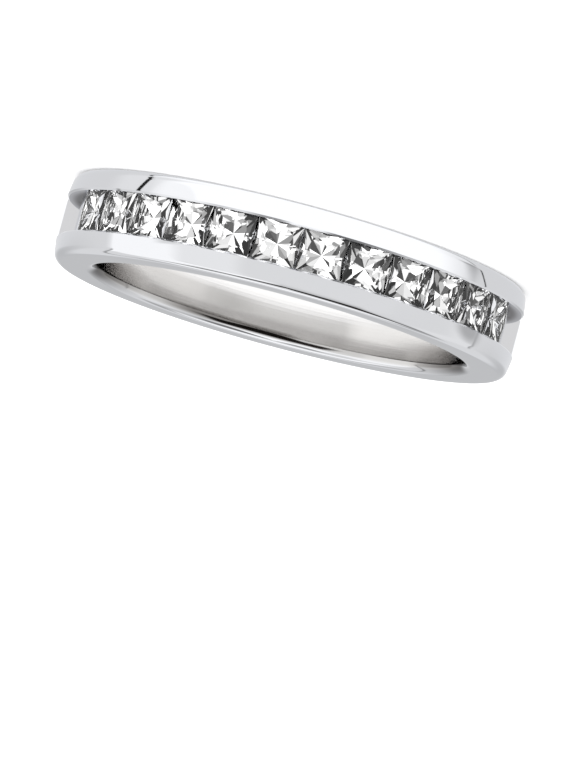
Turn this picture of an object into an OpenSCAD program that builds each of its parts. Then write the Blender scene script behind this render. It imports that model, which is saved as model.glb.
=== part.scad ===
// Channel-set band ring: one polished white metal band with a row of square cut stones let into a channel.
// The ring lies on its side: its axis is +Z, its lower side face is on z = 0, and the stones face -Y.

/* [Band] */
// Diameter of the finger bore
bore_d = 16.5; // [16.2:0.1:17]
// Thickness of the wall, from the bore to the top of the crowned outer surface
wall = 2.1; // [2.1:0.05:2.4]
// Width of the band along the finger
band_w = 3.85; // [3.6:0.05:4.2]
// How far the outer surface falls from the middle of the width to the side faces
crown_drop = 0.21; // [0.15:0.01:0.3]
// Radius of the two outer edges
outer_edge_r = 0.4; // [0.3:0.05:0.5]
// Radius of the two inner edges, which touch the finger
inner_edge_r = 0.45; // [0.3:0.05:0.5]

/* [Channel] */
// Clear width between the two rails
channel_w = 1.81; // [1.78:0.01:1.84]
// Bright-cut chamfer along the top edge of each rail
rail_bevel = 0.08; // [0.05:0.01:0.1]
// Depth of the empty channel past the row of stones, below the top of the band
channel_depth = 0.72; // [0.6:0.02:0.8]
// Angle from the middle of the row to each end of the channel
channel_reach = 95.5; // [90:0.5:110]

/* [Stones] */
// Number of stones in the row
stone_count = 12; // [8:2:12]
// Side of a stone, across its girdle
stone_w = 2; // [1.96:0.01:2.01]
// Depth of the table below the top of the band
table_recess = 0.19; // [0.17:0.01:0.25]
// Height of the crown, from the girdle to the table
crown_h = 0.16; // [0.15:0.01:0.18]
// Thickness of the girdle
girdle_t = 0.06; // [0.04:0.01:0.08]
// Depth of the pavilion, from the girdle to the point
pavilion_h = 1.1; // [1.04:0.02:1.16]
// Angle from one stone to the next
stone_pitch = 11.7; // [11.66:0.02:11.8]
// Air between a stone and its seat
seat_gap = 0.03; // [0.02:0.005:0.04]

/* [Hidden] */
$fn = 96;

bore_r = bore_d / 2;
outer_r = bore_r + wall;
half_w = band_w / 2;

// The crowned outer surface is an arc through the middle of the width and both side faces.
crown_arc_r = (half_w * half_w + crown_drop * crown_drop) / (2 * crown_drop);
crown_arc_x = outer_r - crown_arc_r;
// Centre of the rounded outer edge, which touches that arc and the side face
edge_x = crown_arc_x + sqrt(pow(crown_arc_r - outer_edge_r, 2) - pow(half_w - outer_edge_r, 2));
edge_y = half_w - outer_edge_r;

table_r = outer_r - table_recess;
girdle_top_r = table_r - crown_h;
girdle_low_r = girdle_top_r - girdle_t;
culet_r = girdle_low_r - pavilion_h;
rail_top_r = crown_arc_x + sqrt(pow(crown_arc_r, 2) - pow(channel_w / 2 + rail_bevel, 2));
row_reach = stone_pitch * stone_count / 2;
// Radius that every cut reaches past the band
clear_r = outer_r + 0.5;
// Slack past the last stone at each end of the seats, in degrees
end_slack = 0.3;
// Half the width of the trough's floor, and its clearance under the stones' points
trough_half = 0.12;
point_gap = 0.04;

// Princess cut, for a stone 2 wide: how each tier of facets rises towards the side and towards the corner.
// Every plane passes through the girdle's corner, so the tiers are nested chevrons.
pavilion_rise = [[2.4, 0], [1.4, 0.06], [1.18, 0.1], [1.03, 0.17]];
bezel_rise = 1;
star_rise = [0.39, 0.1];
// Depth of that pavilion, and height of that crown
fall_h = 1.2;
rise_h = 0.2;
// Places on one side's middle line where two tiers cross, points in one side's list, and the number of
// the lowest point
tier_points = len(pavilion_rise) - 1;
side_kinds = 5 + tier_points;
culet = 4 * side_kinds;

function stone_name(i) = str("stone_", i < 10 ? "0" : "", i);

// Where two neighbouring tiers of the pavilion cross on the middle line of a side: [distance, depth]
function tier_cross(i) =
    let (a = pavilion_rise[i], b = pavilion_rise[i + 1], back = (b[1] - a[1]) / (a[0] - b[0]))
    [1 - back, a[0] * back + a[1]];

// The same crossing in millimetres, with the depth scaled to the pavilion's real one
function tier_point(i) = [tier_cross(i)[0] * stone_w / 2, tier_cross(i)[1] * pavilion_h / fall_h];

module band_profile() {
    intersection() {
        union() {
            // crowned middle of the outer surface, between the two rounded edges
            intersection() {
                translate([crown_arc_x, 0]) circle(crown_arc_r);
                polygon([
                    [crown_arc_x, 0],
                    [crown_arc_x, 0] + 2 * [edge_x - crown_arc_x, edge_y],
                    [crown_arc_x, 0] + 2 * [edge_x - crown_arc_x, -edge_y]
                ]);
            }
            translate([edge_x, edge_y]) circle(outer_edge_r);
            translate([edge_x, -edge_y]) circle(outer_edge_r);
            translate([bore_r + inner_edge_r, -half_w])
                square([edge_x - bore_r - inner_edge_r, band_w]);
            // bore and rounded inner edges
            translate([bore_r, inner_edge_r - half_w])
                square([edge_x - bore_r, band_w - 2 * inner_edge_r]);
            translate([bore_r + inner_edge_r, half_w - inner_edge_r]) circle(inner_edge_r);
            translate([bore_r + inner_edge_r, inner_edge_r - half_w]) circle(inner_edge_r);
        }
        translate([bore_r, -half_w]) square([wall, band_w]);
    }
}

// Open channel between the rails, widened by the bright-cut chamfers at its top
module channel_profile() {
    h = channel_w / 2;
    flare = clear_r - rail_top_r + rail_bevel;
    polygon([
        [outer_r - channel_depth, -h],
        [rail_top_r - rail_bevel, -h],
        [clear_r, -h - flare],
        [clear_r, h + flare],
        [rail_top_r - rail_bevel, h],
        [outer_r - channel_depth, h]
    ]);
}

// Seats of the row: a slot that takes the girdles under the rails, and a trough that clears the pavilions
module seat_profile() {
    half = stone_w / 2 + seat_gap;
    // the girdles are flat and the slot is round, so its top clears their corners too
    slot_top = norm([girdle_top_r + crown_h / 3, channel_w / 2]);
    depths = [for (i = [0:tier_points - 1]) [
        girdle_low_r - tier_point(i)[1] - seat_gap / 2,
        tier_point(i)[0] + seat_gap
    ]];
    side = concat(
        [[slot_top, half], [girdle_low_r - seat_gap / 2, half]],
        depths,
        [[culet_r - point_gap, trough_half]]
    );
    polygon(concat(side, [for (i = [len(side) - 1:-1:0]) [side[i][0], -side[i][1]]]));
}

// Sweeps a profile round the ring, the same angle to each side of the middle of the row
module sweep_front(reach) {
    rotate([0, 0, -90 - reach]) rotate_extrude(angle = 2 * reach) children();
}

module band() {
    color("#d6d8dc") translate([0, 0, half_w]) difference() {
        rotate_extrude() band_profile();
        sweep_front(channel_reach) channel_profile();
        sweep_front(row_reach + end_slack) seat_profile();
    }
}

// A point turned to the given side of the square
function turned(p, s) = [
    p[0] * cos(90 * s) - p[1] * sin(90 * s),
    p[0] * sin(90 * s) + p[1] * cos(90 * s),
    p[2]
];

// One side's points: the two girdle corners, the middle of its bezel, the table's side and corner, and the
// places where the tiers of the pavilion cross on its middle line
function side_points(s) =
    let (
        h = stone_w / 2,
        back = star_rise[1] / (bezel_rise - star_rise[0]),
        table_side = h * (1 - (rise_h - star_rise[1]) / star_rise[0]),
        table_corner = h * (1 - rise_h / (star_rise[0] + star_rise[1]))
    )
    [for (p = [
        [h, -h, 0],
        [h, -h, -girdle_t],
        [h * (1 - back), 0, crown_h * bezel_rise * back / rise_h],
        [table_side, 0, crown_h],
        [table_corner, -table_corner, crown_h],
        for (i = [0:tier_points - 1]) [tier_point(i)[0], 0, -girdle_t - tier_point(i)[1]]
    ]) turned(p, s)];

// A point's number, from its side and its place in that side's list
function at(s, k) = (s % 4) * side_kinds + k;

// One side's faces: girdle, bezel, two stars, then the pavilion's tiers in mirrored pairs
function side_faces(s) = [
    [at(s, 0), at(s, 1), at(s + 1, 1), at(s + 1, 0)],
    [at(s, 0), at(s + 1, 0), at(s, 2)],
    [at(s, 0), at(s, 2), at(s, 3), at(s, 4)],
    [at(s + 1, 0), at(s + 1, 4), at(s, 3), at(s, 2)],
    [at(s, 1), at(s, 5), at(s + 1, 1)],
    for (i = [6:side_kinds - 1]) each [
        [at(s, 1), at(s, i), at(s, i - 1)],
        [at(s + 1, 1), at(s, i - 1), at(s, i)]
    ],
    [at(s, 1), culet, at(s, side_kinds - 1)],
    [at(s + 1, 1), at(s, side_kinds - 1), culet]
];

function flipped(f) = [for (i = [len(f) - 1:-1:0]) f[i]];

// One square stone with the top of its girdle on z = 0 and its table up
module princess_cut() {
    points = concat([for (s = [0:3]) each side_points(s)], [[0, 0, -girdle_t - pavilion_h]]);
    table = [for (s = [0:3]) each [at(s, 4), at(s, 3)]];
    faces = concat([for (s = [0:3]) each side_faces(s)], [table]);
    polyhedron(points, [for (f = faces) flipped(f)]);
}

module stone(i) {
    turn = stone_pitch * (i - (stone_count + 1) / 2);
    color("#eef4f8") rotate([0, 0, turn]) translate([0, -girdle_top_r, half_w])
        rotate([90, 0, 0]) princess_cut();
}

band();
for (i = [1:stone_count]) stone(i);
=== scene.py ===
"""Channel-set band ring of polished white gold with a row of princess-cut diamonds, lying on its side."""
from math import atan2, cos, pi, radians, sin, sqrt

import bpy
from mathutils import Matrix, Vector


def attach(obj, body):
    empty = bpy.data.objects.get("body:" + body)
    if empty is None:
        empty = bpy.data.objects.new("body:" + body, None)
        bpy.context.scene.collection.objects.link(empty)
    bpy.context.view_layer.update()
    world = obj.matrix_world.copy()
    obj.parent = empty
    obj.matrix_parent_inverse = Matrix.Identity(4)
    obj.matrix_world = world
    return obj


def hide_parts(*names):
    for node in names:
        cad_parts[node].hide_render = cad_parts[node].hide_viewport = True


MM = 0.001

# Driving sizes of the ring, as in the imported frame
BORE_D = 16.5 * MM
WALL = 2.1 * MM
BAND_W = 3.85 * MM
CROWN_DROP = 0.21 * MM
OUTER_EDGE_R = 0.4 * MM
INNER_EDGE_R = 0.45 * MM
CHANNEL_W = 1.81 * MM
RAIL_BEVEL = 0.08 * MM
CHANNEL_DEPTH = 0.72 * MM
STONE_W = 2.0 * MM
GIRDLE_TOP_DROP = 0.35 * MM
GIRDLE_T = 0.06 * MM
PAVILION_H = 1.1 * MM
SEAT_GAP = 0.03 * MM
# How far the channel and the seats reach to each side of the middle of the row, in degrees
CHANNEL_REACH = 95.5
SEAT_REACH = 70.5
# How far the seats reach above the girdles. Below them, where their walls bend, as parts of the pavilion's
# depth and of the seat's half width, and how wide they are under the points, as a part of that half width
SEAT_RISE = 0.05 * MM
SEAT_BEND_DEPTH = 0.75
SEAT_BEND_WIDTH = 0.5
SEAT_POINT_WIDTH = 0.12

# Values worked out from them
BORE_R = BORE_D / 2
OUTER_R = BORE_R + WALL
HALF_W = BAND_W / 2
CROWN_ARC_R = (HALF_W**2 + CROWN_DROP**2) / (2 * CROWN_DROP)
CROWN_ARC_X = OUTER_R - CROWN_ARC_R
EDGE_Y = HALF_W - OUTER_EDGE_R
EDGE_X = CROWN_ARC_X + sqrt((CROWN_ARC_R - OUTER_EDGE_R) ** 2 - EDGE_Y**2)
# Half the angle that the crowned surface takes between its two rounded edges
CROWN_SPAN = atan2(EDGE_Y, EDGE_X - CROWN_ARC_X)
RAIL_TOP_R = CROWN_ARC_X + sqrt(CROWN_ARC_R**2 - (CHANNEL_W / 2 + RAIL_BEVEL) ** 2)
GIRDLE_TOP_R = OUTER_R - GIRDLE_TOP_DROP

# How finely the band is swept: steps round the circle, and points along each arc of its outline
ROUND_STEPS = 400
CROWN_STEPS = 40
OUTER_EDGE_STEPS = 40
INNER_EDGE_STEPS = 20
# Radius of the circle that the outlines are swept along, and radius that every cut reaches past the band
SPINE_R = 1 * MM
CLEAR_R = OUTER_R + 0.5 * MM
# Sharpest edge between two faces that is still shaded smooth, in degrees
SMOOTH_EDGE = 20

# Kinds of node and settings that come up often
MATH = "ShaderNodeMath"
RANGE = "ShaderNodeMapRange"
MIX = "ShaderNodeMix"
PLUS = {"operation": "ADD"}
MINUS = {"operation": "SUBTRACT"}
TIMES = {"operation": "MULTIPLY"}
TIMES_PLUS = {"operation": "MULTIPLY_ADD"}
OVER = {"operation": "DIVIDE"}
POWER = {"operation": "POWER"}
LARGER = {"operation": "MAXIMUM"}
WITHIN = {"operation": "COMPARE"}
UNSIGNED = {"operation": "ABSOLUTE"}
DIRECTION = {"operation": "ARCTAN2"}
IN_DEGREES = {"operation": "DEGREES"}
EASED = {"interpolation_type": "SMOOTHSTEP"}
NUMBERS = {"data_type": "FLOAT"}
COLOURS = {"data_type": "RGBA"}


def linear(code):
    """An sRGB hex colour as the linear colour that the shaders take."""
    parts = [int(code[i : i + 2], 16) / 255 for i in (1, 3, 5)]
    return [c / 12.92 if c <= 0.04045 else ((c + 0.055) / 1.055) ** 2.4 for c in parts] + [1.0]


def plug(tree, made, place, source):
    """Feeds one input, found by name or number, from a socket or a node, or sets the input's own value."""
    if isinstance(place, str):
        place = place.replace("_", " ")
    if isinstance(source, bpy.types.Node):
        source = next(output for output in source.outputs if output.enabled)
    if isinstance(source, bpy.types.NodeSocket):
        tree.links.new(source, made.inputs[place])
    else:
        made.inputs[place].default_value = source


def add(tree, kind, settings=None, *values, **links):
    """Adds a node with its settings. Values feed its first inputs in turn, links the inputs they name."""
    made = tree.nodes.new(kind)
    for name, value in (settings or {}).items():
        setattr(made, name, value)
    for place, source in [*enumerate(values), *links.items()]:
        plug(tree, made, place, source)
    return made


def new_object(name, data):
    """A new object in the scene, at the origin."""
    made = bpy.data.objects.new(name, data)
    bpy.context.scene.collection.objects.link(made)
    return made


def new_material(name, **finish):
    """A new material with its node tree and its shader, and the finish set on the shader."""
    material = bpy.data.materials.new(name)
    material.use_nodes = True
    tree = material.node_tree
    shader = tree.nodes["Principled BSDF"]
    for place, value in finish.items():
        plug(tree, shader, place, value)
    return material, tree, shader


def arc(centre, radius, start, end, steps):
    """Points along an arc, both ends included."""
    turns = [start + (end - start) * i / steps for i in range(steps + 1)]
    return [(centre[0] + radius * cos(t), centre[1] + radius * sin(t)) for t in turns]


def band_outline():
    """Cross-section of the band: crowned outside, rounded outer and inner edges, flat sides and bore."""
    inner_x = BORE_R + INNER_EDGE_R
    inner_y = HALF_W - INNER_EDGE_R
    return (
        arc((CROWN_ARC_X, 0), CROWN_ARC_R, -CROWN_SPAN, CROWN_SPAN, CROWN_STEPS)[:-1]
        + arc((EDGE_X, EDGE_Y), OUTER_EDGE_R, CROWN_SPAN, pi / 2, OUTER_EDGE_STEPS)
        + arc((inner_x, inner_y), INNER_EDGE_R, pi / 2, pi, INNER_EDGE_STEPS)
        + arc((inner_x, -inner_y), INNER_EDGE_R, pi, 3 * pi / 2, INNER_EDGE_STEPS)
        + arc((EDGE_X, -EDGE_Y), OUTER_EDGE_R, -pi / 2, -CROWN_SPAN, OUTER_EDGE_STEPS)[:-1]
    )


def channel_outline():
    """Cross-section of the cut for the channel, with the bright-cut bevels along the top of both rails."""
    half = CHANNEL_W / 2
    bevel_r = RAIL_TOP_R - RAIL_BEVEL
    side = [(OUTER_R - CHANNEL_DEPTH, half), (bevel_r, half), (CLEAR_R, half + CLEAR_R - bevel_r)]
    return [(x, -y) for x, y in side] + side[::-1]


def seat_outline():
    """Cross-section of the cut that takes the girdles under the rails and clears the stones' points."""
    half = STONE_W / 2 + SEAT_GAP
    low = GIRDLE_TOP_R - GIRDLE_T - SEAT_GAP
    side = [
        (GIRDLE_TOP_R + SEAT_RISE, half),
        (low, half),
        (low - SEAT_BEND_DEPTH * PAVILION_H, SEAT_BEND_WIDTH * half),
        (low - PAVILION_H, SEAT_POINT_WIDTH * half),
    ]
    return side + [(x, -y) for x, y in side[::-1]]


def outline_object(name, points):
    """A closed outline to sweep, given by distance from the axis and height above the middle."""
    curve = bpy.data.curves.new(name, "CURVE")
    spline = curve.splines.new("POLY")
    spline.points.add(len(points) - 1)
    for point, (x, y) in zip(spline.points, points):
        point.co = (x - SPINE_R, y, 0, 1)
    spline.use_cyclic_u = True
    return new_object(name, curve)


def sweep(tree, outline, path):
    """The outline swept along a path round the axis, with its ends closed."""
    read = add(tree, "GeometryNodeObjectInfo", Object=outline).outputs["Geometry"]
    return add(tree, "GeometryNodeCurveToMesh", Curve=path, Profile_Curve=read, Fill_Caps=True)


def front_path(tree, steps, reach):
    """A path along the row, as far as the reach to each side of its middle."""
    start = add(tree, MATH, MINUS, -pi / 2, reach)
    whole = add(tree, MATH, TIMES, reach, 2.0)
    share = add(tree, MATH, OVER, whole, 2 * pi)
    points = add(tree, MATH, TIMES_PLUS, share, steps, 1.0)
    return add(
        tree,
        "GeometryNodeCurveArc",
        Resolution=points,
        Radius=SPINE_R,
        Start_Angle=start,
        Sweep_Angle=whole,
    )


def band_tree():
    """Sweeps the band's outline round the finger and cuts the channel and the seats out of it."""
    tree = bpy.data.node_groups.new("swept band with a cut channel", "GeometryNodeTree")
    tree.is_modifier = True
    sizes = (
        ("Band outline", "NodeSocketObject"),
        ("Channel outline", "NodeSocketObject"),
        ("Seat outline", "NodeSocketObject"),
        ("Round steps", "NodeSocketInt"),
        ("Channel reach", "NodeSocketFloat"),
        ("Seat reach", "NodeSocketFloat"),
        ("Half width", "NodeSocketFloat"),
        ("Sharpest smooth edge", "NodeSocketFloat"),
        ("Metal", "NodeSocketMaterial"),
    )
    tree.interface.new_socket("Geometry", in_out="OUTPUT", socket_type="NodeSocketGeometry")
    for name, kind in sizes:
        tree.interface.new_socket(name, in_out="INPUT", socket_type=kind)
    given = add(tree, "NodeGroupInput").outputs

    steps = given["Round steps"]
    circle = add(tree, "GeometryNodeCurvePrimitiveCircle", Resolution=steps, Radius=SPINE_R)
    ring = sweep(tree, given["Band outline"], circle)
    cutting = {"operation": "DIFFERENCE", "solver": "MANIFOLD"}
    cut = add(tree, "GeometryNodeMeshBoolean", cutting, Mesh_1=ring)
    for name in ("Channel", "Seat"):
        path = front_path(tree, steps, given[f"{name} reach"])
        plug(tree, cut, "Mesh 2", sweep(tree, given[f"{name} outline"], path))

    lift = add(tree, "ShaderNodeCombineXYZ", Z=given["Half width"])
    placed = add(tree, "GeometryNodeSetPosition", Geometry=cut, Offset=lift)
    # the crowned and rounded surfaces are smooth, and the cut edges stay crisp
    bend = add(tree, "GeometryNodeInputMeshEdgeAngle").outputs["Unsigned Angle"]
    at_most = {"operation": "LESS_EQUAL"}
    smooth = add(tree, "FunctionNodeCompare", at_most, bend, given["Sharpest smooth edge"])
    faces = add(tree, "GeometryNodeSetShadeSmooth", {"domain": "FACE"}, Geometry=placed)
    edges = add(tree, "GeometryNodeSetShadeSmooth", {"domain": "EDGE"}, Geometry=faces, Shade_Smooth=smooth)
    real = add(tree, "GeometryNodeRealizeInstances", Geometry=edges)
    done = add(tree, "GeometryNodeSetMaterial", Geometry=real, Material=given["Metal"])
    add(tree, "NodeGroupOutput", Geometry=done)
    return tree


def make_band(metal):
    """The band as one plain mesh, swept and cut by its tree. The tree's helpers are removed again."""
    tree = band_tree()
    outlines = {
        "Band outline": outline_object("band outline", band_outline()),
        "Channel outline": outline_object("channel outline", channel_outline()),
        "Seat outline": outline_object("seat outline", seat_outline()),
    }
    values = {
        **outlines,
        "Round steps": ROUND_STEPS,
        "Channel reach": radians(CHANNEL_REACH),
        "Seat reach": radians(SEAT_REACH),
        "Half width": HALF_W,
        "Sharpest smooth edge": radians(SMOOTH_EDGE),
        "Metal": metal,
    }
    holder = new_object("band holder", bpy.data.meshes.new("band holder"))
    modifier = holder.modifiers.new("sweep", "NODES")
    modifier.node_group = tree
    for item in tree.interface.items_tree:
        if item.in_out == "INPUT":
            modifier[item.identifier] = values[item.name]
    view = bpy.context.evaluated_depsgraph_get()
    mesh = bpy.data.meshes.new_from_object(holder.evaluated_get(view))
    for helper in (holder, *outlines.values()):
        bpy.data.objects.remove(helper)
    mesh.name = "polished_band"
    return new_object("polished_band", mesh)


# Colours of the plated gold where it is mirror polished and where it is only brushed, the tint of its shine
# where light only grazes it, and the dark grey of the painted shade laid over parts of the bore and channel
MIRROR = "#e4e5e8"
BRUSHED = "#ebeae9"
GRAZED = "#f9fafc"
PAINTED_SHADE = "#5f5a56"
# Roughness of the mirror polish, from its clear to its cloudy parts, and of the brushed bore
MIRROR_ROUGHNESS = (0.03, 0.05)
BRUSHED_ROUGHNESS = 0.1
# Where the brushed bore fades into the mirror polish, measured out from the bore
BORE_FADE = (0.02 * MM, 0.12 * MM)
# The faint clouds that buffing leaves in the shine: their size and detail, and the part of the noise used
CLOUD_SIZE = 1.5 * MM
CLOUD_DETAIL = 3.0
CLOUD_RANGE = (0.3, 0.7)
# The shallow waves that buffing leaves in the surface
WAVE_SIZE = 3 * MM
WAVE_HEIGHT = 0.004 * MM
# The lines of the brush. Real ones are about 0.01 mm wide, which is too fine to show, so these are coarser
BRUSH_SIZE = 0.06 * MM
BRUSH_DETAIL = 2.0
BRUSH_HEIGHT = 0.0006 * MM

# The painted shade is made of patches of dark grey painted into the metal's colour. Each has its density and
# the measures that it grows along, with the values where it starts and where it is full. Over is the height
# above the middle of the width, turn the angle from the middle of the row, across the distance towards +X,
# and reach the distance from the axis. In the bore the painted shade lies along the upper edge, more of it
# near the stones, on the +X half of the back, and in the corner where the bore turns up, on one side of the
# back
UPPER_CORNER = ("over", 1.25 * MM, 1.48 * MM)
BORE_SHADE_PATCHES = (
    (0.32, (("over", 0.75 * MM, 1.15 * MM),)),
    (0.73, (("over", 0.2 * MM, 1.1 * MM), ("turn", 152, 112))),
    (0.2, (("over", 0.1 * MM, 0.4 * MM), ("across", 0.3 * MM, 2.3 * MM))),
    (0.8, (UPPER_CORNER, ("across", -2 * MM, -0.4 * MM), ("across", 6.5 * MM, 3.5 * MM))),
)
# The bore has no painted shade beside the stones
BORE_UNSHADED = ("turn", 98, 110)
# Painted shade on the rounded edge at both ends of the bore's opening
TIP_REACH = ("reach", 8.75 * MM, 8.3 * MM)
TIP_SHADE_PATCH = (0.6, (("turn", 90, 100), ("turn", 140, 106), UPPER_CORNER, TIP_REACH))
# In the empty channel it is painted shadow on the rails' walls, denser lower down, and on the walls at the
# ends.
# It keeps between two distances from the axis, and to metal that is nearer than this to a wall's plane
CHANNEL_SHADE_R = (9.52 * MM, 10.28 * MM)
RAIL_SHADE_PATCH = (0.5, (("reach", 10.2 * MM, 9.75 * MM),))
RAIL_SKIN = 0.02 * MM
END_SHADE_DENSITY = 0.4
END_Y = 0.9 * MM
END_SKIN = 0.1 * MM


def shade_patch(tree, measures, density, growths):
    """A patch of painted shade, which eases in along each of its measures up to its density."""
    for name, start, full in growths:
        density = add(tree, MATH, TIMES, density, add(tree, RANGE, EASED, measures[name], start, full))
    return density


def painted_shade_amount(tree, x, y, z, reach, bore):
    """How dense the painted shade is at a place, from 0 to 1."""
    over = add(tree, MATH, MINUS, z, HALF_W)
    azimuth = add(tree, MATH, DIRECTION, x, add(tree, MATH, TIMES, y, -1.0))
    turn = add(tree, MATH, IN_DEGREES, add(tree, MATH, UNSIGNED, azimuth))
    measures = {"over": over, "turn": turn, "across": x, "reach": reach}

    shade_amount = 0.0
    for density, growths in BORE_SHADE_PATCHES:
        shade_amount = add(tree, MATH, LARGER, shade_amount, shade_patch(tree, measures, density, growths))
    shade_amount = add(tree, MATH, TIMES, shade_amount, shade_patch(tree, measures, bore, (BORE_UNSHADED,)))
    shade_amount = add(tree, MATH, LARGER, shade_amount, shade_patch(tree, measures, *TIP_SHADE_PATCH))

    # painted shadow on the walls of the empty channel, under the rails and at its ends
    low, top = CHANNEL_SHADE_R
    side = add(tree, MATH, UNSIGNED, over)
    in_channel = add(tree, MATH, WITHIN, reach, (low + top) / 2, (top - low) / 2)
    on_rails = add(tree, MATH, WITHIN, side, CHANNEL_W / 2, RAIL_SKIN)
    on_ends = add(tree, MATH, WITHIN, y, END_Y, END_SKIN)
    between = add(tree, MATH, {"operation": "LESS_THAN"}, side, CHANNEL_W / 2)
    rails = add(tree, MATH, TIMES, on_rails, shade_patch(tree, measures, *RAIL_SHADE_PATCH))
    ends = add(tree, MATH, TIMES, add(tree, MATH, TIMES, on_ends, between), END_SHADE_DENSITY)
    walls = add(tree, MATH, TIMES, in_channel, add(tree, MATH, LARGER, rails, ends))
    return add(tree, MATH, LARGER, shade_amount, walls)


def white_gold():
    """White gold, plated with rhodium and buffed to a mirror, so it shows the studio in sharp, almost
    colourless bands. Its bore is only brushed: the bands are soft there, and grey where shade is painted in."""
    material, tree, shader = new_material("rhodium plated white gold", Metallic=1)
    place = add(tree, "ShaderNodeTexCoord").outputs["Object"]
    x, y, z = add(tree, "ShaderNodeSeparateXYZ", None, place).outputs
    reach = add(
        tree,
        "ShaderNodeVectorMath",
        {"operation": "LENGTH"},
        add(tree, "ShaderNodeCombineXYZ", None, x, y),
    )
    bore = add(tree, RANGE, EASED, reach, BORE_R + BORE_FADE[0], BORE_R + BORE_FADE[1], 1.0, 0.0)

    cloud = add(tree, "ShaderNodeTexNoise", Vector=place, Scale=1 / CLOUD_SIZE, Detail=CLOUD_DETAIL)
    mirror = add(tree, RANGE, None, cloud, *CLOUD_RANGE, *MIRROR_ROUGHNESS)
    rough = add(tree, MIX, NUMBERS, Factor=bore, A=mirror, B=BRUSHED_ROUGHNESS)
    plug(tree, shader, "Roughness", rough)

    # painted shade: dark grey patches mixed into the colour of the bore and the empty channel
    shade_amount = painted_shade_amount(tree, x, y, z, reach, bore)
    unshaded_tone = add(tree, MIX, COLOURS, Factor=bore, A=linear(MIRROR), B=linear(BRUSHED))
    tone = add(tree, MIX, COLOURS, Factor=shade_amount, A=unshaded_tone, B=linear(PAINTED_SHADE))
    plug(tree, shader, "Base Color", tone)
    # the painted shade also greys the tint of the grazing shine
    edge = add(tree, MIX, COLOURS, Factor=shade_amount, A=linear(GRAZED), B=linear(PAINTED_SHADE))
    plug(tree, shader, "Specular Tint", edge)

    # the brush's lines run round the bore
    round_bore = add(tree, "ShaderNodeCombineXYZ", X=reach, Z=z)
    lines = add(tree, "ShaderNodeTexNoise", Vector=round_bore, Scale=1 / BRUSH_SIZE, Detail=BRUSH_DETAIL)
    brush = add(tree, MATH, TIMES, lines, bore)
    wave = add(tree, "ShaderNodeTexNoise", Vector=place, Scale=1 / WAVE_SIZE, Detail=0.0)
    waves = add(tree, "ShaderNodeBump", Height=wave, Distance=WAVE_HEIGHT)
    relief = add(tree, "ShaderNodeBump", Height=brush, Distance=BRUSH_HEIGHT, Normal=waves)
    plug(tree, shader, "Normal", relief)
    return material


def diamond():
    """Diamond, its facets cut and polished flat. It is clear and colourless, and bends light so strongly
    that each stone breaks the studio up into small hard glints. The shine of its outer faces is held back,
    so that those glints carry the look."""
    return new_material(
        "polished diamond",
        Base_Color=linear("#ffffff"),
        Transmission_Weight=1,
        IOR=2.417,
        Specular_Tint=linear("#8e8e8e"),
        Roughness=0,
    )[0]


# Camera: its distance from the middle of the ring, its azimuth and elevation, how far its picture is rolled,
# pitched and yawed, its lens and sensor as Blender gives them, and the nearest and farthest that it sees
VIEW_DISTANCE = 523.7 * MM
VIEW_AZIMUTH = 0.5
VIEW_ELEVATION = 7.4274
VIEW_ROLL = 194.963
VIEW_PITCH = 0.50913
VIEW_YAW = -0.00912
LENS = 562.5
SENSOR = 36
NEAREST = 10 * MM
FARTHEST = 50


def make_camera():
    """The photo's view of the ring. The picture is rolled over, so the lying ring stands in it."""
    turn = Matrix.Rotation(radians(VIEW_AZIMUTH), 3, "Z")
    up = radians(VIEW_ELEVATION)
    place = Vector((0, -cos(up), sin(up))) * VIEW_DISTANCE
    back = place.normalized()
    right = Vector((0, 0, 1)).cross(back).normalized()
    # rows: the camera's right, up and back
    axes = Matrix((right, back.cross(right), back))
    axes = Matrix.Rotation(-radians(VIEW_ROLL), 3, "Z") @ axes
    axes = Matrix.Rotation(radians(VIEW_PITCH), 3, "X") @ Matrix.Rotation(radians(VIEW_YAW), 3, "Y") @ axes
    camera = new_object("camera", bpy.data.cameras.new("camera"))
    camera.data.lens = LENS
    camera.data.sensor_width = SENSOR
    camera.data.clip_start = NEAREST
    camera.data.clip_end = FARTHEST
    stand = Matrix.Translation(turn @ place + Vector((0, 0, HALF_W)))
    camera.matrix_world = stand @ (turn @ axes.transposed()).to_4x4()
    bpy.context.scene.camera = camera


# Half the side of the floor, in metres, and the strength and spread of its light
FLOOR_REACH = 2
FLOOR_LIGHT = 2.5
FLOOR_LIGHT_SPREAD = 120


def make_floor():
    """Matt white paper under the ring, which shows soft shadows and no shine. The metal and the stones don't
    show it, so that only the studio's cards draw their lines."""
    side = FLOOR_REACH
    mesh = bpy.data.meshes.new("floor")
    corners = [(-side, -side, 0), (side, -side, 0), (side, side, 0), (-side, side, 0)]
    mesh.from_pydata(corners, [], [(0, 1, 2, 3)])
    paper = new_material(
        "matt white paper",
        Base_Color=linear("#f4f4f4"),
        Roughness=0.9,
        Specular_IOR_Level=0,
    )[0]
    mesh.materials.append(paper)
    floor = new_object("floor", mesh)
    floor.visible_glossy = False
    floor.visible_transmission = False


def make_floor_light():
    """A wide soft light that only the floor takes, so that the paper stays white."""
    lamp = bpy.data.lights.new("floor light", "SUN")
    lamp.energy = FLOOR_LIGHT
    lamp.angle = radians(FLOOR_LIGHT_SPREAD)
    made = new_object("floor light", lamp)
    made.visible_glossy = False
    made.visible_transmission = False


# How much of the light each surface gives back, so that a card's grey is the grey that it leaves in the
# picture
METAL_TONE = 0.775
STONE_TONE = 0.7

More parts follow.
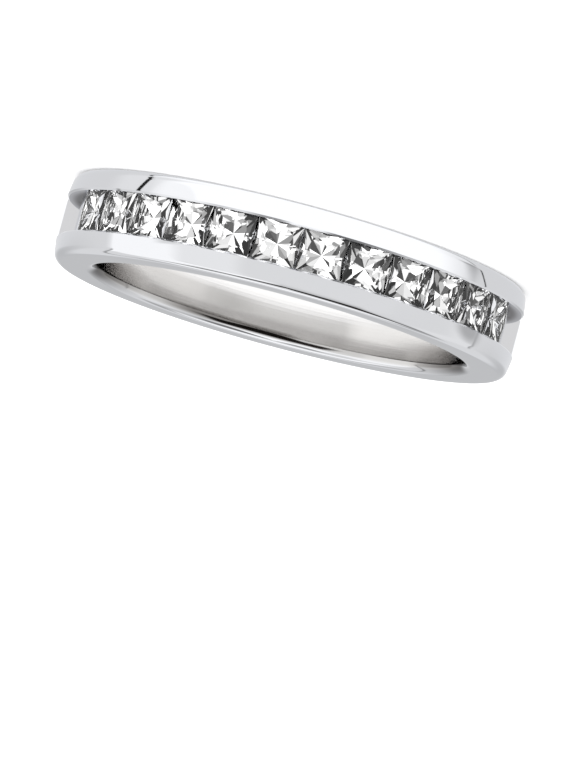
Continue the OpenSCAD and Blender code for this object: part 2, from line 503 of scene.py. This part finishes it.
# The tent round the ring, as soft-edged cards on its wall. They are painted in this order over the wall's
# own grey. Each has a grey, the azimuth and elevation of its middle, half its width and height, how soft its
# edge is, how square its outline is (2 is an ellipse) and how far it leans. Azimuth 0 is towards the camera
# and grows to +X, and angles are in degrees. These cards are below the split, and the rail that is the upper
# one in the picture reflects them, with its edge
LOW_WALL = 255
LOW_CARDS = (
    (228, 178, 0, 98, 53, 0.13, 4, 0),
    (246, 71, -16, 14, 9, 0.1, 2, 0),
    (16, 172, 0, 84.5, 49, 0.01, 3.4, 0),
    (190, -176, 0, 80.5, 44.5, 0.09, 3.2, 0),
    (212, 172, 0, 82.3, 48, 0.01, 3.4, 0),
    (209, -176, 0, 77, 42.5, 0.03, 3.2, 0),
    (226, 92, -14, 6, 8.5, 0.1, 4, 0),
    (222, 98, -30, 14, 24, 0.6, 4, 0),
    (10, 91.9, -19.6, 1.15, 7.2, 0.12, 4, -26),
    (10, 96, -31, 1.3, 10.4, 0.12, 4, 35),
    (150, -100, -26.5, 5.5, 6.5, 0.9, 2, 0),
    (90, -107.6, -17.8, 0.55, 5.2, 0.3, 4, 36),
)
# Cards above the split. The other rail, its edge and the side face reflect them
HIGH_WALL = 252
HIGH_CARDS = (
    (216, -10, 20, 85, 40, 0.06, 4, 0),
    (212, 180, 60, 93, 28, 0.1, 6, 0),
    (250, 178, 62, 48, 11, 0.4, 4, 0),
    (205, 112, 68, 36, 6, 0.6, 4, 0),
    (150, 88, 84, 55, 9.5, 0.3, 6, 0),
    (176, -105, 60, 40, 8, 0.6, 4, 0),
    (110, -95, 80, 50, 14, 0.25, 4, 0),
    (160, -152, 47, 17, 5, 0.6, 2, 21),
    (184, 160, 46, 12, 5, 0.6, 2, -20),
    (221, -98, 25, 28, 32, 0.3, 4, 0),
    (213, -80, 24, 12, 36, 0.6, 4, 0),
    (213, -64, 27, 10, 24, 0.5, 4, 0),
    (228, 45, 20, 18, 38, 0.3, 4, 0),
    (246, 82, 18, 21, 26, 0.25, 3, -10),
    (246, 94, 40, 17, 24, 0.2, 4, -43),
    (150, 175, 0, 75.5, 39.7, 0.01, 3, 0),
    (246, 83.5, 2, 18, 20, 0.3, 4, 0),
    (212, 175, 0, 74, 38, 0.02, 3, 0),
    (170, -103, 1, 9, 3.5, 0.6, 2, 0),
    (215, 68, 3.6, 10, 0.9, 0.5, 4, 0),
    (182, 180, 10, 47, 9, 0.7, 4, 0),
    (246, 86, 4, 15, 22, 0.3, 4, 0),
    (212, -146, 33, 24, 9, 0.4, 4, 0),
)
# Elevation of the split
SPLIT = -6.0

# The same for what the stones show, and the small lamps and gaps among those cards, which are cells on the
# sky: how many there are to one radian, and how far they dim and brighten the cards
STONE_WALL = 183
STONE_CARDS = (
    (255, 90, 25, 60, 25, 0.05, 4, 0),
    (250, 0, -9, 42, 12, 0.05, 4, 0),
    (255, 0, -52, 22, 13, 0.05, 4, 0),
    (60, -25, 31, 35, 13, 0.05, 4, 0),
    (50, 50, -55, 16, 15, 0.05, 4, 0),
    (70, -100, -15, 14, 30, 0.05, 4, 0),
    (60, -22, -32, 14, 9, 0.05, 4, 0),
    (220, -62, 8, 14, 14, 0.05, 4, 0),
)
CELL_COUNT = 21
CELL_RANGE = (0.35, 1.85)


def grey(value, tone):
    """The light that shows as this sRGB grey off a surface of the given tone."""
    return linear("#" + f"{value:02x}" * 3)[0] / tone


def tent(tree, azimuth, elevation, wall, cards, tone):
    """The light of a tent with cards on its wall, by direction."""
    light = grey(wall, tone)
    for shade, mid_turn, mid_rise, half_w, half_h, soft, square, lean in cards:
        turn = add(tree, MATH, {"operation": "WRAP"}, add(tree, MATH, MINUS, azimuth, mid_turn), 180, -180)
        rise = add(tree, MATH, MINUS, elevation, mid_rise)
        if lean:
            c, s = cos(radians(lean)), sin(radians(lean))
            turn, rise = (
                add(tree, MATH, TIMES_PLUS, rise, s, add(tree, MATH, TIMES, turn, c)),
                add(tree, MATH, TIMES_PLUS, turn, -s, add(tree, MATH, TIMES, rise, c)),
            )
        parts = []
        for off, half in ((turn, half_w), (rise, half_h)):
            part = add(tree, MATH, OVER, add(tree, MATH, UNSIGNED, off), half)
            parts.append(add(tree, MATH, POWER, part, square))
        # 1 on the card's outline and less inside it
        out = add(tree, MATH, POWER, add(tree, MATH, PLUS, *parts), 1 / square)
        cover = add(tree, RANGE, EASED, out, 1 - soft, 1 + soft, 1.0, 0.0)
        light = add(tree, MIX, NUMBERS, Factor=cover, A=light, B=grey(shade, tone))
    return light


def make_world():
    """The studio, by direction: a tent for what the metal and the floor get, another one for what is seen
    through the stones, and plain white for the camera."""
    world = bpy.data.worlds.new("studio")
    bpy.context.scene.world = world
    world.use_nodes = True
    tree = world.node_tree
    ray = add(tree, "ShaderNodeLightPath").outputs
    way = add(tree, "ShaderNodeTexCoord").outputs["Generated"]
    x, y, z = add(tree, "ShaderNodeSeparateXYZ", None, way).outputs
    turn = add(tree, MATH, DIRECTION, x, add(tree, MATH, TIMES, y, -1.0))
    azimuth = add(tree, MATH, IN_DEGREES, turn)
    elevation = add(tree, MATH, IN_DEGREES, add(tree, MATH, {"operation": "ARCSINE"}, z))

    is_high = add(tree, MATH, {"operation": "GREATER_THAN"}, elevation, SPLIT)
    low = tent(tree, azimuth, elevation, LOW_WALL, LOW_CARDS, METAL_TONE)
    high = tent(tree, azimuth, elevation, HIGH_WALL, HIGH_CARDS, METAL_TONE)
    on_metal = add(tree, MIX, NUMBERS, Factor=is_high, A=low, B=high)

    cells = add(tree, "ShaderNodeTexVoronoi", Vector=way, Scale=CELL_COUNT).outputs["Color"]
    cell = add(tree, "ShaderNodeSeparateColor", Color=cells).outputs["Red"]
    lamps = add(tree, RANGE, None, cell, 0.0, 1.0, *CELL_RANGE)
    cards = tent(tree, azimuth, elevation, STONE_WALL, STONE_CARDS, STONE_TONE)
    in_stones = add(tree, MATH, TIMES, lamps, cards)

    shown = add(tree, MIX, NUMBERS, Factor=ray["Is Transmission Ray"], A=on_metal, B=in_stones)
    shown = add(tree, MIX, NUMBERS, Factor=ray["Is Camera Ray"], A=shown, B=1.0)
    sky = tree.nodes["Background"]
    plug(tree, sky, "Color", linear("#ffffff"))
    plug(tree, sky, "Strength", shown)


# The black flag is a curved sheet over the near rim, from one azimuth to the other. Its lower edge is lowest
# between two azimuths and climbs over an angle beside them. Its edges fade over parts of its length (X) and
# height (Y), each from the edge to where the sheet is dense
FLAG_R = 10.7 * MM
FLAG_LOW = (3.8 * MM, 9 * MM)
FLAG_LOWEST = (-20, 2)
FLAG_CLIMB = 25
FLAG_HIGH = 28 * MM
FLAG_FROM = -84
FLAG_TO = 66
FLAG_STEPS = 75
FLAG_FADES = (("X", 0.0, 0.15), ("X", 1.0, 0.9), ("Y", 0.0, 0.1), ("Y", 1.0, 0.75))


def make_flag():
    """A black flag held over the near rim, out of the picture: it draws the dark lines along the ring's
    edges. Felt is dull and gives back next to no light, and its faded edges end those lines softly."""
    mesh = bpy.data.meshes.new("black_flag")
    points = []
    for i in range(FLAG_STEPS + 1):
        turn = FLAG_FROM + (FLAG_TO - FLAG_FROM) * i / FLAG_STEPS
        up = min(1, max(0, FLAG_LOWEST[0] - turn, turn - FLAG_LOWEST[1]) / FLAG_CLIMB)
        low = FLAG_LOW[0] + (FLAG_LOW[1] - FLAG_LOW[0]) * up
        place = (FLAG_R * sin(radians(turn)), -FLAG_R * cos(radians(turn)))
        points += [(*place, low), (*place, FLAG_HIGH)]
    mesh.from_pydata(points, [], [(2 * i, 2 * i + 2, 2 * i + 3, 2 * i + 1) for i in range(FLAG_STEPS)])
    places = mesh.uv_layers.new(name="sheet").data
    for loop in mesh.loops:
        places[loop.index].uv = (loop.vertex_index // 2 / FLAG_STEPS, loop.vertex_index % 2)

    felt, tree, shader = new_material("black felt", Base_Color=linear("#231f1e"), Specular_IOR_Level=0)
    sheet = add(tree, "ShaderNodeUVMap", {"uv_map": "sheet"})
    along = add(tree, "ShaderNodeSeparateXYZ", None, sheet).outputs
    cover = 1.0
    for axis, edge, dense in FLAG_FADES:
        cover = add(tree, MATH, TIMES, cover, add(tree, RANGE, EASED, along[axis], edge, dense))
    plug(tree, shader, "Alpha", cover)
    mesh.materials.append(felt)
    flag = new_object("black_flag", mesh)
    flag.visible_camera = False
    flag.visible_diffuse = False
    flag.visible_transmission = False
    flag.visible_shadow = False


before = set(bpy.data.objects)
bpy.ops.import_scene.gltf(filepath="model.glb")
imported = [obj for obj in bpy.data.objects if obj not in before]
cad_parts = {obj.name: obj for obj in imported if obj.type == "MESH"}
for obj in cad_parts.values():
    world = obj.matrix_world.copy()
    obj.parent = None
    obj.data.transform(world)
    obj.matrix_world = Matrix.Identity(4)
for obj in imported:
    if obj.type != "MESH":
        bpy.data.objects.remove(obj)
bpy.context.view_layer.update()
bpy.context.scene.view_settings.view_transform = "Standard"
make_camera()
make_world()
make_floor()
make_flag()
make_floor_light()
band = make_band(white_gold())
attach(band, "root")
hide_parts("band")
gem = diamond()
for name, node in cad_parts.items():
    if name.startswith("stone"):
        node.data.materials.clear()
        node.data.materials.append(gem)
